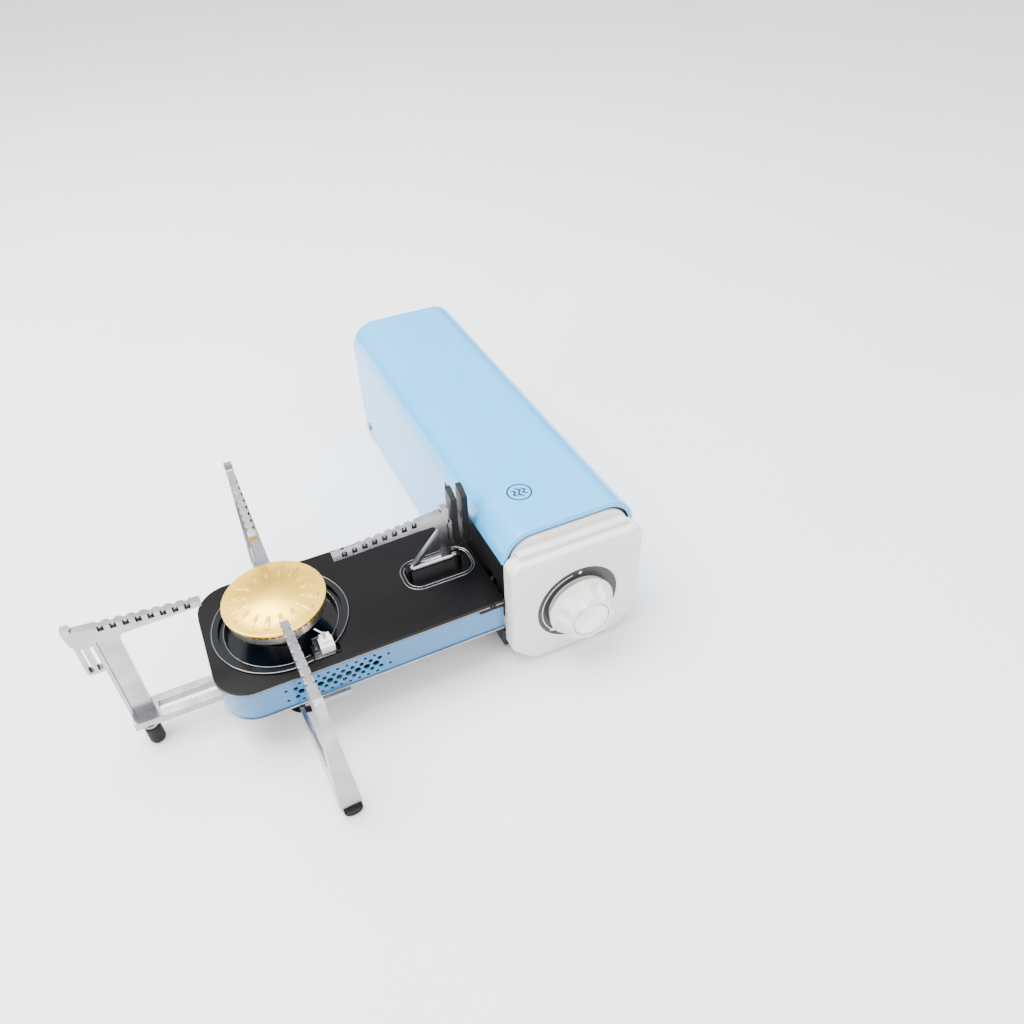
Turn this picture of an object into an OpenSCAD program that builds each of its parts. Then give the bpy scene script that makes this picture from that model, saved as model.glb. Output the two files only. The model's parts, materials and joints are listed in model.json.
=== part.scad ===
// Folding single-burner camping stove with a side cartridge housing.
// Millimetres, +Z up. The working coordinates have the burner's axis at x = 0, y = 0 and the
// resting surface at z = 0; seat() then puts the origin under the middle of the whole stove.

/* [Cartridge housing] */
// Width of the housing's cover
shell_w = 90; // [86:1:110]
// Height of the cover's top above the surface
shell_top = 102; // [98:1:124]
// Length of the cover from its front rim to its rear end
shell_len = 290; // [240:1:350]
// Sheet thickness of the cover
shell_wall = 1.6; // [1.2:0.1:2.2]
// Radius of the cover's long top edges
shell_round = 20; // [14:1:26]
// Height of the gas axis, which the knob turns about
axis_z = 42; // [40:1:46]

/* [Burner body] */
// Width of the burner body
body_w = 87; // [80:1:106]
// Distance from the burner's axis to the body's free end
body_left = 43; // [40:1:54]
// Distance from the burner's axis to the housing
body_right = 125.5; // [112:0.5:152]
// Height of the deck's top
deck_z = 56; // [52:1:62]
// Height of the body's underside
body_z = 30; // [29:1:34]

/* [Burner] */
// Radius of the brass cap
cap_r = 30; // [25:1:34]
// Height of the cap's flat rim
cap_z = 76.5; // [74:0.5:82]

/* [Pan supports] */
// Distance from the burner's axis to the arms' inner tips
arm_in = 37.5; // [34:0.5:44]
// Distance from the burner's axis to the arms' outer ends
arm_out = 104; // [100:1:112]
// Height of the arms' inner tips
pan_z = 93.4; // [88:0.2:112]
// Width of an arm's bar
arm_w = 5; // [4.5:0.5:7]

/* [Hidden] */

$fn = 64;
running = 0.05;
gap = 0.4;
sheet = 1.2;
eps = 0.01;

// Cartridge housing
shell_x0 = body_right + 0.9;
shell_x1 = shell_x0 + shell_w;
axis_x = (shell_x0 + shell_x1) / 2;
rim_y = -body_w / 2 + 1.3;
shell_y1 = rim_y + shell_len;
shell_low = 2;
end_low = 18;
rim_wall = 3;
rim_deep = 4;
mouth_z = 84;
mouth_y1 = body_w / 2 + 4;
flange_gap = 0.4;
flange_h = 14;
chassis_z = 3;
chassis_t = 1.5;
chassis_top = chassis_z + chassis_t;
chassis_y0 = rim_y + rim_deep + 1.5;
chassis_x0 = shell_x0 + shell_wall + flange_gap;
chassis_x1 = shell_x1 - shell_wall - flange_gap;
tilt_y = shell_y1 - 12;
tilt_z = 9;
pin_r = 2;
lug_r = 6;
boss_r = 8;

// Front end
panel_w = shell_w - 0.5;
panel_z0 = 1.8;
panel_z1 = 87.5;
panel_y0 = rim_y - 12.8;
panel_y1 = rim_y - 0.8;
panel_round = 7;
panel_cut = 15;
ledge_y0 = panel_y1 - 6;
ledge_z1 = 91;
plug_side = rim_wall + 1.6;
plug_top = shell_top - rim_wall - 1.7;
plug_y1 = rim_y + 15;
dial_r = 28;
dial_in = 20.5;
dial_deep = 0.4;
knob_r = 22;
knob_front_r = 15.5;
knob_gap = 3.6;
flutes = 8;
flute_r = 7;
flute_at = 23.5;
knob_cap_r = 12;
knob_cap_deep = 1.2;
stem_r = 3;
screw_r = 1.5;
screw_head_r = 2.8;

// Valve and cartridge seat
valve_w = 30;
valve_h = 30;
valve_y0 = plug_y1 + 0.4;
valve_y1 = valve_y0 + 34;
socket_r = 9;
socket_deep = 8;
can_r = 34;
can_clear = 1;
can_side = axis_x - can_r - can_clear;
collar_y = valve_y1;
pipe_r = 2.5;
pipe_y = valve_y0 + 22;
pipe_end_x = 60;

// Burner body
corner_r = 19;
rim_drop = 3.5;
well_r = 38.9;
pocket_x0 = 79;
pocket_x1 = body_right - 4;
pocket_w = 22;
pocket_y = -1;
pocket_deep = 2.2;
pocket_r = 8;
base_z1 = body_z + sheet;
bridge_x0 = shell_x0 + 5;
bridge_y0 = -26;
bridge_y1 = 40;
bridge_t = 1.6;
bridge_foot = 14;
lip_out = 1;
vent_pitch = 5.54;
vent_count = 9;
vent_x0 = -1.7;
vent_z = (body_z + deck_z - rim_drop) / 2 - 0.5;
vent_r = 2;
vent_mid_r = 1.4;
vent_small_r = 0.95;
vent_rise = 3.5;

// Burner
head_r = cap_r - 1.6;
head_z0 = cap_z - 10.5;
neck_r = 14;
port_count = 48;
port_z0 = cap_z - 4.3;
dome_h = 2.6;
tube_r = 6;
neck_z0 = deck_z - 5.5;
rise_z = deck_z - 8;
rise_deep = 4;

// Pan supports
arm_slope = 0.1;
arm_deep = 3.4;
nub_h = 2.2;
notch_count = 8;
notch_u0 = 44.5;
notch_pitch = 6.2;
notch_r = 1.6;
notch_deep = 3.2;
notch_out = 0.1;
leg_u0 = 82;
leg_u1 = 95;
frame_z0 = 17;
frame_z1 = 22;
rail_in = 3.5;
rail_out = 9;
rail_end = 20;
guide_x = [-34, 6];
swing_y = body_w / 2 - 8.5;
swing_r = 3;
swing_boss_r = 9;
swing_disc_r = 11.5;
root_z0 = 24.6;
root_z1 = 28.8;
front_lean = 2;
shoe_r = 5.4;
shoe_y = 1.7;
leg_t = 2.5;
leg_left = 5;
leg_right = 7.5;
leg_base = 12;
leg_drop = 8;
web_t = 2.4;
web_in = 0.3;
web_flare = 1.8;
web_slant = 1.7;
fold_z = deck_z + 5.8;
fold_r = 1.5;
post_u0 = 103;
post_u1 = 110;
loop_u1 = 124.2;
loop_z0 = 66;
stop_top = 113.5;
stop_u = [post_u1 + 1.4, post_u1 + 8.2];
stop_t = 3.6;
stop_y0 = -5.4;
stop_y1 = 5;

// Wire from the piezo igniter, along the body under the deck, to the electrode's foot
lead_r = 1.1;
lead_sides = 8;
lead_path = [
  [axis_x - 10, valve_y0 + 12, axis_z + 20], [shell_x0 + 14, valve_y0 + 12, axis_z + 20],
  [shell_x0 + 4, valve_y0 + 8, axis_z + 8], [shell_x0 - 8, -30, axis_z + 7], [60, -32, axis_z + 7],
  [22, -32, axis_z + 7], [19, -32, axis_z + 7.8]
];

// Sheet that closes the housing's mouth
plate_x = shell_x0 + 2.6;
plate_t = 1.2;
plate_y0 = rim_y + rim_deep + 0.6;
plate_y1 = mouth_y1 + 2;
plate_z1 = mouth_z + 1;

// Extents used to centre the whole stove
reach_left = arm_out + 2;
pin_head = 1.6;
mid_x = (shell_x1 + pin_head - reach_left) / 2;
reach_front = arm_out + 2;
mid_y = (shell_y1 - reach_front) / 2;

module seat() {
  translate([-mid_x, -mid_y, 0]) children();
}

module box(x0, x1, y0, y1, z0, z1) {
  translate([x0, y0, z0]) cube([x1 - x0, y1 - y0, z1 - z0]);
}

// Round bar along Y from y0 to y1
module bar_y(x, z, r, y0, y1) {
  translate([x, y0, z]) rotate([-90, 0, 0]) cylinder(r = r, h = y1 - y0);
}

// Round bar along X from x0 to x1
module bar_x(y, z, r, x0, x1) {
  translate([x0, y, z]) rotate([0, 90, 0]) cylinder(r = r, h = x1 - x0);
}

// Profile drawn in x and z, then given thickness from y0 to y1
module wall_xz(y0, y1) {
  translate([0, y1, 0]) rotate([90, 0, 0]) linear_extrude(y1 - y0) children();
}

// Profile drawn in y and z, then given thickness from x0 to x1
module wall_yz(x0, x1) {
  translate([x0, 0, 0]) rotate([90, 0, 90]) linear_extrude(x1 - x0) children();
}

module round_rect(x0, x1, y0, y1, r) {
  translate([x0 + r, y0]) square([x1 - x0 - 2 * r, y1 - y0]);
  translate([x0, y0 + r]) square([x1 - x0, y1 - y0 - 2 * r]);
  for (x = [x0 + r, x1 - r], y = [y0 + r, y1 - r]) translate([x, y]) circle(r);
}

// Plan of the burner body, rounded only at its free end
module body_plan(grow, x1 = body_right) {
  r = corner_r + grow;
  half = body_w / 2 + grow;
  translate([-body_left - grow + r, -half]) square([x1 + body_left + grow - r, 2 * half]);
  translate([-body_left - grow, -half + r]) square([r, 2 * (half - r)]);
  for (s = [-1, 1]) translate([-body_left - grow + r, s * (half - r)]) circle(r);
}

// Arch section of the cover, with round top corners, as seen from the front
module arch(x0, x1, z0, z1, r) {
  translate([x0, z0]) square([x1 - x0, z1 - z0 - r]);
  translate([x0 + r, z0]) square([x1 - x0 - 2 * r, z1 - z0]);
  for (x = [x0 + r, x1 - r]) translate([x, z1 - r]) circle(r);
}

// ---- Cartridge housing ----

module chassis() color("dimgray") seat() difference() {
  union() {
    box(chassis_x0, chassis_x1, chassis_y0, tilt_y + 4, chassis_z, chassis_top);
    for (x = [chassis_x0, chassis_x1 - chassis_t]) {
      box(x, x + chassis_t, chassis_y0, tilt_y, chassis_z, chassis_z + flange_h);
      wall_yz(x, x + chassis_t) translate([tilt_y, tilt_z]) circle(lug_r);
    }
  }
  bar_x(tilt_y, tilt_z, pin_r, chassis_x0 - 1, chassis_x1 + 1);
}

module housing_pads() color("black") seat()
  for (x = [chassis_x0 + 10, chassis_x1 - 10], y = [chassis_y0 + 14, tilt_y - 14])
    translate([x, y, 0]) cylinder(r = 6, h = chassis_z);

module shell() color("lightskyblue") seat() difference() {
  union() {
    wall_xz(rim_y, shell_y1) difference() {
      arch(shell_x0, shell_x1, shell_low, shell_top, shell_round);
      arch(shell_x0 + shell_wall, shell_x1 - shell_wall, shell_low - 1, shell_top - shell_wall,
        shell_round - shell_wall);
    }
    wall_xz(rim_y, rim_y + rim_deep) difference() {
      arch(shell_x0, shell_x1, shell_low, shell_top, shell_round);
      arch(shell_x0 + rim_wall, shell_x1 - rim_wall, shell_low - 1, shell_top - rim_wall,
        shell_round - rim_wall);
    }
  }
  box(shell_x0 - 1, shell_x0 + 12, rim_y - 1, mouth_y1, shell_low - 1, mouth_z);
  difference() {
    box(shell_x0 - 1, shell_x1 + 1, tilt_y, shell_y1 + 1, shell_low - 1, end_low);
    wall_yz(shell_x0 - 2, shell_x1 + 2) translate([tilt_y, tilt_z]) circle(boss_r);
    box(shell_x0 - 2, shell_x1 + 2, tilt_y - 1, tilt_y + boss_r, tilt_z, end_low + 1);
  }
  bar_x(tilt_y, tilt_z, pin_r + running, shell_x0 - 1, shell_x1 + 1);
}

module shell_end() color("lightskyblue") seat() wall_xz(shell_y1 - shell_wall, shell_y1)
  arch(shell_x0 + shell_wall, shell_x1 - shell_wall, end_low, shell_top - shell_wall,
    shell_round - shell_wall);

module hinge_pins() color("silver") seat()
  for (s = [0, 1]) translate([axis_x, tilt_y, tilt_z]) mirror([s, 0, 0]) {
    bar_x(0, 0, pin_r, shell_w / 2 - 6, shell_w / 2 + 0.3);
    bar_x(0, 0, pin_r + 1.6, shell_w / 2 + 0.3, shell_w / 2 + pin_head);
  }

// ---- Front end ----

module end_block() color("white") seat() difference() {
  union() {
    wall_xz(panel_y1, plug_y1) arch(shell_x0 + plug_side, shell_x1 - plug_side, chassis_top,
      plug_top, shell_round - plug_side + 1);
    wall_xz(ledge_y0, panel_y1)
      round_rect(shell_x0 + 8, shell_x1 - 8, panel_z1, ledge_z1, (ledge_z1 - panel_z1) / 2 - eps);
  }
  wall_xz(panel_y1 + 2, plug_y1 + 1) arch(shell_x0 + plug_side + 2, shell_x1 - plug_side - 2,
    chassis_z, plug_top - 2, shell_round - plug_side);
  bar_y(axis_x, axis_z, 8.1, panel_y1 - 1, panel_y1 + 3);
  for (s = [-1, 1]) bar_y(axis_x + s * 28, axis_z - 22, screw_r, panel_y1 - 1, panel_y1 + 3);
}

// Square front plate with one pair of rounded and one pair of cut corners
module panel_face(inset) {
  half = panel_w / 2 - inset;
  low = panel_z0 - axis_z + inset;
  high = panel_z1 - axis_z - inset;
  r = panel_round;
  union() {
    polygon([[-half + panel_cut, low], [half - panel_cut, low], [half, low + panel_cut],
      [half, high - r], [half - r, high], [-half + r, high], [-half, high - r], [-half, low + panel_cut]]);
    for (s = [-1, 1]) translate([s * (half - r), high - r]) circle(r);
  }
}

module panel() color("whitesmoke") seat() translate([axis_x, 0, axis_z]) difference() {
  union() {
    wall_xz(panel_y0 + 3, panel_y1) panel_face(0);
    wall_xz(panel_y0 + 1.2, panel_y0 + 3) panel_face(0.9);
    wall_xz(panel_y0, panel_y0 + 1.2) panel_face(2.2);
  }
  bar_y(0, 0, dial_r + 0.1, panel_y0 - 1, panel_y0 + dial_deep);
  bar_y(0, 0, stem_r + 1, panel_y0 - 1, panel_y1 + 1);
  wall_xz(panel_y0 + 5, panel_y1 + 1) difference() {
    panel_face(4);
    circle(9);
    for (s = [-1, 1]) translate([s * 28, -22]) circle(4.5);
  }
  for (s = [-1, 1]) bar_y(s * 28, -22, screw_r, panel_y1 - 6, panel_y1 + 1);
}

module dial_ring() color("black") seat() difference() {
  bar_y(axis_x, axis_z, dial_r, panel_y0, panel_y0 + dial_deep);
  bar_y(axis_x, axis_z, dial_in, panel_y0 - 1, panel_y0 + 1);
}

module panel_screws() color("silver") seat()
  for (s = [-1, 1]) {
    bar_y(axis_x + s * 28, axis_z - 22, screw_r, panel_y1 - 6, panel_y1 + 2);
    bar_y(axis_x + s * 28, axis_z - 22, screw_head_r, panel_y1 + 2, panel_y1 + 3.8);
  }

// The knob narrows to its front and has eight flutes that run out near its flange
module knob() color("white") seat() translate([axis_x, panel_y0 - knob_gap, axis_z]) rotate([90, 0, 0])
  difference() {
    rotate_extrude() polygon([[0, 0], [knob_r, 0], [knob_r, 2.4], [knob_r - 1.6, 3.2],
      [knob_front_r + 1.4, 13], [knob_front_r, 14], [0, 14]]);
    for (i = [0:flutes - 1]) rotate([0, 0, (i + 0.5) * 360 / flutes])
      translate([flute_at, 0, 3.4]) rotate([0, -14, 0]) cylinder(r = flute_r, h = 16);
    translate([0, 0, 14 - knob_cap_deep]) cylinder(r = knob_cap_r + 0.05, h = 3);
    translate([0, 0, -1]) cylinder(r = stem_r + running, h = 10.5);
  }

module knob_cap() color("gainsboro") seat()
  bar_y(axis_x, axis_z, knob_cap_r, panel_y0 - knob_gap - 14, panel_y0 - knob_gap - 14 + knob_cap_deep);

module valve_stem() color("silver") seat() union() {
  bar_y(axis_x, axis_z, stem_r, panel_y0 - knob_gap - 9, valve_y0 + 10);
  bar_y(axis_x, axis_z, stem_r + 0.9, panel_y1 + 3.4, panel_y1 + 5);
}

// Return spring behind the stem's collar, drawn as its outer tube
module stem_spring() color("silver") seat() difference() {
  bar_y(axis_x, axis_z, stem_r + 2, panel_y1 + 5, valve_y0);
  bar_y(axis_x, axis_z, stem_r + 0.8, panel_y1 + 4, valve_y0 + 1);
}

module valve_body() color("goldenrod") seat() difference() {
  union() {
    box(axis_x - valve_w / 2, axis_x + valve_w / 2, valve_y0, valve_y1 - 8,
      axis_z - valve_h / 2, axis_z + valve_h / 2);
    bar_y(axis_x, axis_z, valve_w / 2, valve_y1 - 8, valve_y1);
    box(axis_x - 11, axis_x + 11, valve_y0 + 2, valve_y1 - 10, chassis_top, axis_z);
  }
  bar_y(axis_x, axis_z, stem_r + running, valve_y0 - 1, valve_y0 + 14);
  bar_y(axis_x, axis_z, socket_r, valve_y1 - socket_deep, valve_y1 + 1);
  bar_x(pipe_y, axis_z, pipe_r, axis_x - valve_w / 2 - 1, axis_x - 8);
}

module gland_nut() color("gold") seat() difference() {
  bar_x(pipe_y, axis_z, 6, axis_x - valve_w / 2 - 7, axis_x - valve_w / 2);
  bar_x(pipe_y, axis_z, pipe_r, axis_x - valve_w / 2 - 8, axis_x - valve_w / 2 + 1);
}

// Ring that a cartridge's collar locks behind, with the keyway at its top
module cartridge_collar() color("silver") seat() difference() {
  union() {
    bar_y(axis_x, axis_z, 24, collar_y - 3, collar_y);
    bar_y(axis_x, axis_z, 18, collar_y, collar_y + 4);
  }
  bar_y(axis_x, axis_z, 16, collar_y - 4, collar_y + 5);
  box(axis_x - 3, axis_x + 3, collar_y - 5, collar_y + 5, axis_z + 15, axis_z + 26);
}

module socket_seal() color("black") seat() difference() {
  bar_y(axis_x, axis_z, socket_r, valve_y1 - socket_deep, valve_y1 - socket_deep + 2.5);
  bar_y(axis_x, axis_z, 5, valve_y1 - socket_deep - 1, valve_y1 - socket_deep + 4);
}

// Two saddles that the cartridge lies in
module cartridge_cradles() color("dimgray") seat()
  for (y = [collar_y + 40, collar_y + 140]) wall_xz(y, y + 8) difference() {
    translate([axis_x - 26, chassis_top]) square([52, 16]);
    translate([axis_x, axis_z]) circle(can_r + 0.8);
  }

// Bent leaf at the rear that pushes the cartridge onto its seat
module push_spring() color("silver") seat() wall_yz(axis_x - 12, axis_x + 12) polygon([
  [tilt_y - 12, chassis_top], [tilt_y - 12, axis_z - 10], [tilt_y - 24, axis_z + 12],
  [tilt_y - 16, axis_z + 26],
  [tilt_y - 17.2, axis_z + 26.6], [tilt_y - 25.4, axis_z + 12], [tilt_y - 13.2, axis_z - 10.4],
  [tilt_y - 13.2, chassis_z + 2.7], [tilt_y - 30, chassis_z + 2.7], [tilt_y - 30, chassis_top]]);

module piezo() color("white") seat() union() {
  box(axis_x - 9, axis_x + 9, valve_y0 + 3, valve_y0 + 21, axis_z + valve_h / 2, axis_z + valve_h / 2 + 14);
  bar_y(axis_x, axis_z + valve_h / 2 + 7, 4, valve_y0 - 1, valve_y0 + 3);
}

// ---- Gas path ----

function unit(v) = v / norm(v);

// Direction of the wire at one point of its route, halfway between the stretches on each side
function lead_way(i, last = len(lead_path) - 1) = unit(
  (i < last ? unit(lead_path[i + 1] - lead_path[i]) : [0, 0, 0])
  + (i > 0 ? unit(lead_path[i] - lead_path[i - 1]) : [0, 0, 0]));

function lead_ring(i) =
  let (way = lead_way(i), across = unit(cross(way, [0, 0, 1])), up = cross(across, way))
  [for (k = [0:lead_sides - 1]) let (a = k * 360 / lead_sides)
    lead_path[i] + lead_r * (cos(a) * across + sin(a) * up)];

module igniter_lead() color("black") seat() {
  rings = len(lead_path);
  points = [for (i = [0:rings - 1]) each lead_ring(i)];
  sides = [for (i = [0:rings - 2], k = [0:lead_sides - 1]) let (n = (k + 1) % lead_sides)
    [i * lead_sides + k, i * lead_sides + n, (i + 1) * lead_sides + n, (i + 1) * lead_sides + k]];
  start = [for (k = [lead_sides - 1:-1:0]) k];
  end = [for (k = [0:lead_sides - 1]) (rings - 1) * lead_sides + k];
  polyhedron(points, concat(sides, [start, end]), convexity = 4);
}

module gas_pipe() color("goldenrod") seat()
  bar_x(pipe_y, axis_z, pipe_r, pipe_end_x, axis_x - 8.5);

module jet() color("gold") seat() difference() {
  union() {
    bar_x(pipe_y, axis_z, 5, pipe_end_x - 8, pipe_end_x + 4);
    box(pipe_end_x - 3, pipe_end_x + 3, pipe_y - 6, pipe_y + 6, base_z1, axis_z);
  }
  bar_x(pipe_y, axis_z, pipe_r, pipe_end_x, pipe_end_x + 5);
  bar_x(pipe_y, axis_z, 0.6, pipe_end_x - 9, pipe_end_x + 1);
}

// Venturi tube that leads the gas and air into the burner's neck
module mixing_tube() color("silver") seat() difference() {
  union() {
    bar_x(pipe_y, axis_z, tube_r, 0, pipe_end_x - 9);
    bar_x(pipe_y, axis_z, tube_r + 2.5, pipe_end_x - 15, pipe_end_x - 9);
    translate([0, pipe_y, axis_z]) cylinder(r = tube_r, h = rise_z - axis_z);
    translate([0, pipe_y, axis_z]) sphere(r = tube_r);
    box(-tube_r, tube_r, min(pipe_y, 0), max(pipe_y, 0), rise_z - rise_deep, rise_z);
    translate([0, 0, rise_z - rise_deep]) cylinder(r = tube_r, h = neck_z0 - rise_z + rise_deep);
  }
  bar_x(pipe_y, axis_z, tube_r - 1.5, 0, pipe_end_x);
}

// ---- Burner body ----

module body_base() color("silver") seat() difference() {
  union() {
    translate([0, 0, body_z]) linear_extrude(sheet) body_plan(lip_out);
    box(body_right - 1, can_side, bridge_y0, bridge_y1, body_z, body_z + sheet);
  }
  for (s = [-1, 1]) translate([0, s * swing_y, body_z - 1]) cylinder(r = swing_r, h = 4);
}

// Step-shaped bracket that joins the burner body's base to the housing's chassis
module bridge_bracket() color("dimgray") seat() union() {
  box(bridge_x0, bridge_x0 + bridge_t, bridge_y0, bridge_y1, chassis_top, body_z);
  box(bridge_x0, can_side, bridge_y0, bridge_y1, body_z - bridge_t, body_z);
  box(bridge_x0, bridge_x0 + bridge_foot, bridge_y0, bridge_y1, chassis_top, chassis_top + chassis_t);
}

// Black sheet inside the housing's mouth, with holes for the gas pipe and the igniter's wire
module inner_plate() color("#151515") seat() difference() {
  box(plate_x, plate_x + plate_t, plate_y0, plate_y1, base_z1, plate_z1);
  bar_x(pipe_y, axis_z, pipe_r + 0.8, plate_x - 1, plate_x + plate_t + 1);
  box(plate_x - 1, plate_x + plate_t + 1, lead_path[2][1] - 8, lead_path[2][1] + 5,
    lead_path[2][2] - 4, lead_path[2][2] + 5);
}

// One row of round vents through both long walls, i0 pitches from the first big vent
module vent_row(i0, count, rise, r) {
  for (i = [0:count - 1]) translate([vent_x0 + (i0 + i) * vent_pitch, 0, vent_z + rise])
    rotate([90, 0, 0]) cylinder(r = r, h = body_w + 4, center = true, $fn = 24);
}

module skirt() color("steelblue") seat() difference() {
  translate([0, 0, base_z1]) linear_extrude(deck_z - rim_drop - base_z1) difference() {
    body_plan(0);
    body_plan(-sheet, body_right + 1);
  }
  vent_row(0, vent_count, 0, vent_r);
  for (s = [-1, 1]) {
    vent_row(-0.5, vent_count + 1, s * vent_rise, vent_mid_r);
    vent_row(0, vent_count, s * 2 * vent_rise, vent_small_r);
    for (i = [-1.5, vent_count + 0.5]) vent_row(i, 1, s * 1.2 * vent_rise, vent_small_r);
  }
}

module deck() color("#181818") seat() difference() {
  union() {
    translate([0, 0, deck_z - sheet]) linear_extrude(sheet) body_plan(sheet);
    translate([0, 0, deck_z - rim_drop]) linear_extrude(rim_drop) difference() {
      body_plan(sheet);
      body_plan(0, body_right + 1);
    }
    box(body_right - 16, body_right, -body_w / 2 - sheet, -body_w / 2, deck_z - rim_drop - 2.5, deck_z);
    box(body_right - 16, body_right, body_w / 2, body_w / 2 + sheet, deck_z - rim_drop - 2.5, deck_z);
    translate([0, 0, deck_z - pocket_deep - sheet]) linear_extrude(pocket_deep + sheet)
      round_rect(pocket_x0 - sheet, pocket_x1 + sheet, pocket_y - pocket_w / 2 - sheet,
        pocket_y + pocket_w / 2 + sheet, pocket_r + sheet);
  }
  translate([0, 0, deck_z - pocket_deep]) linear_extrude(pocket_deep + 1)
    round_rect(pocket_x0, pocket_x1, pocket_y - pocket_w / 2, pocket_y + pocket_w / 2, pocket_r);
  translate([0, 0, deck_z - 5]) cylinder(r = well_r, h = 10);
  translate([0, 0, deck_z - 2]) linear_extrude(4) round_rect(10, 26, -well_r - 1, -26, 2);
  for (s = [-1, 1])
    bar_y(body_right - 7.5, deck_z - 3, screw_r, s * (body_w / 2 + 2) - 3, s * (body_w / 2 + 2) + 3);
}

module deck_screws() color("black") seat()
  for (s = [0, 1]) mirror([0, s, 0]) {
    bar_y(body_right - 7.5, deck_z - 3, screw_r, -body_w / 2 - sheet, -body_w / 2);
    bar_y(body_right - 7.5, deck_z - 3, 2.3, -body_w / 2 - sheet - 1.2, -body_w / 2 - sheet);
  }

// Stepped bowl that hangs in the deck's round hole and has a hole for the burner's neck
module drip_bowl() color("#101418") seat() difference() {
  rotate_extrude() polygon([
    [well_r - 2.6, deck_z], [well_r - 2.6, deck_z + 1], [well_r + 1.4, deck_z + 1], [well_r + 1.4, deck_z],
    [well_r - 0.2, deck_z], [well_r - 0.2, deck_z - 2.5], [well_r - 4.6, deck_z - 2.5],
    [well_r - 5.6, deck_z - 7.5],
    [neck_r + 0.2, deck_z - 7.5], [neck_r + 0.2, deck_z - 6.3], [well_r - 6.6, deck_z - 6.3],
    [well_r - 5.6, deck_z - 1.3], [well_r - 1.4, deck_z - 1.3], [well_r - 1.4, deck_z - 0.2]]);
  translate([0, 0, deck_z - 10]) linear_extrude(20) round_rect(9.8, 26.2, -well_r - 2, -25.8, 2);
}

// ---- Burner ----

module burner_head() color("gainsboro") seat() difference() {
  rotate_extrude() polygon([[0, neck_z0], [neck_r, neck_z0], [neck_r, head_z0 - 3], [head_r - 3, head_z0],
    [head_r, head_z0 + 1.5], [head_r, port_z0], [0, port_z0]]);
  translate([0, 0, head_z0 + 2.5]) cylinder(r = head_r - 3, h = 20);
  translate([0, 0, neck_z0 - 1]) cylinder(r = neck_r - 3, h = 30);
}

// Cap with a flat rim, a slightly domed middle and a ring of flame ports below
module burner_cap() color("goldenrod") seat() difference() {
  rotate_extrude() polygon([[0, cap_z - 2], [cap_r - 5, cap_z - 2], [cap_r - 5, port_z0],
    [cap_r - 1.2, port_z0],
    [cap_r - 1.2, cap_z - 1.2], [cap_r, cap_z - 1], [cap_r, cap_z], [cap_r * 0.62, cap_z + 0.6],
    [cap_r * 0.3, cap_z + dome_h * 0.8], [0, cap_z + dome_h]]);
  for (i = [0:port_count - 1]) rotate([0, 0, i * 360 / port_count])
    translate([cap_r - 6, -0.8, port_z0 - 1]) cube([8, 1.6, 3.4]);
}

module igniter_bracket() color("silver") seat() difference() {
  union() {
    box(10.6, 22.4, -38.6, -27, deck_z - 1.2, deck_z);
    box(12, 22.4, -28.2, -27, deck_z - 1.2, deck_z + 6);
    box(12, 13.6, -34, -27, deck_z, deck_z + 3);
  }
  translate([19, -32, deck_z - 3]) cylinder(r = 2, h = 5);
}

module igniter_block() color("white") seat() difference() {
  translate([19, -32, deck_z]) union() {
    box(-3.8, 4.2, -4.5, 3.6, 0, 5);
    box(-2.8, 3.2, -3, 3.6, 5, 8);
    cylinder(r = 1.9, h = 3);
    translate([0, 0, -5]) cylinder(r = 1.9, h = 6);
  }
  translate([19, -32, deck_z - 6]) cylinder(r = 0.9, h = 30);
}

// Rod through the ceramic block, whose thin tip leans towards the ports
module electrode() color("silver") seat() union() {
  translate([19, -32, axis_z + 9]) cylinder(r = 0.9, h = deck_z + 12 - axis_z - 9);
  tip = [-4, 4.6, 1.5];
  translate([19, -32, deck_z + 11.2]) rotate([0, acos(tip[2] / norm(tip)), atan2(tip[1], tip[0])])
    cylinder(r = 0.6, h = norm(tip));
}

// ---- Pan supports ----

function arm_top(u) = pan_z + (u - arm_in) * arm_slope;

// Bar that the pan rests on, in distance from the burner's axis and height, with a raised outer end
module arm_profile(deep_u, deep_z, end = arm_out + 2) {
  polygon([
    [arm_in, arm_top(arm_in) - arm_deep], [arm_in, arm_top(arm_in)], [end - 4.8, arm_top(end - 4.8)],
    [end - 4, arm_top(end) + nub_h], [end, arm_top(end) + nub_h], [end, arm_top(end) - 1.5],
    [end - 1, arm_top(end) - 10], [end - 4, deep_z], [deep_u, deep_z]
  ]);
}

// Half-round notches along both top edges of a bar that runs along +X
module arm_notches() {
  for (i = [0:notch_count - 1], s = [-1, 1]) let (u = notch_u0 + i * notch_pitch)
    translate([u, s * (arm_w / 2 + notch_out), arm_top(u) - notch_deep])
      cylinder(r = notch_r, h = notch_deep + 2, $fn = 24);
}

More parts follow.
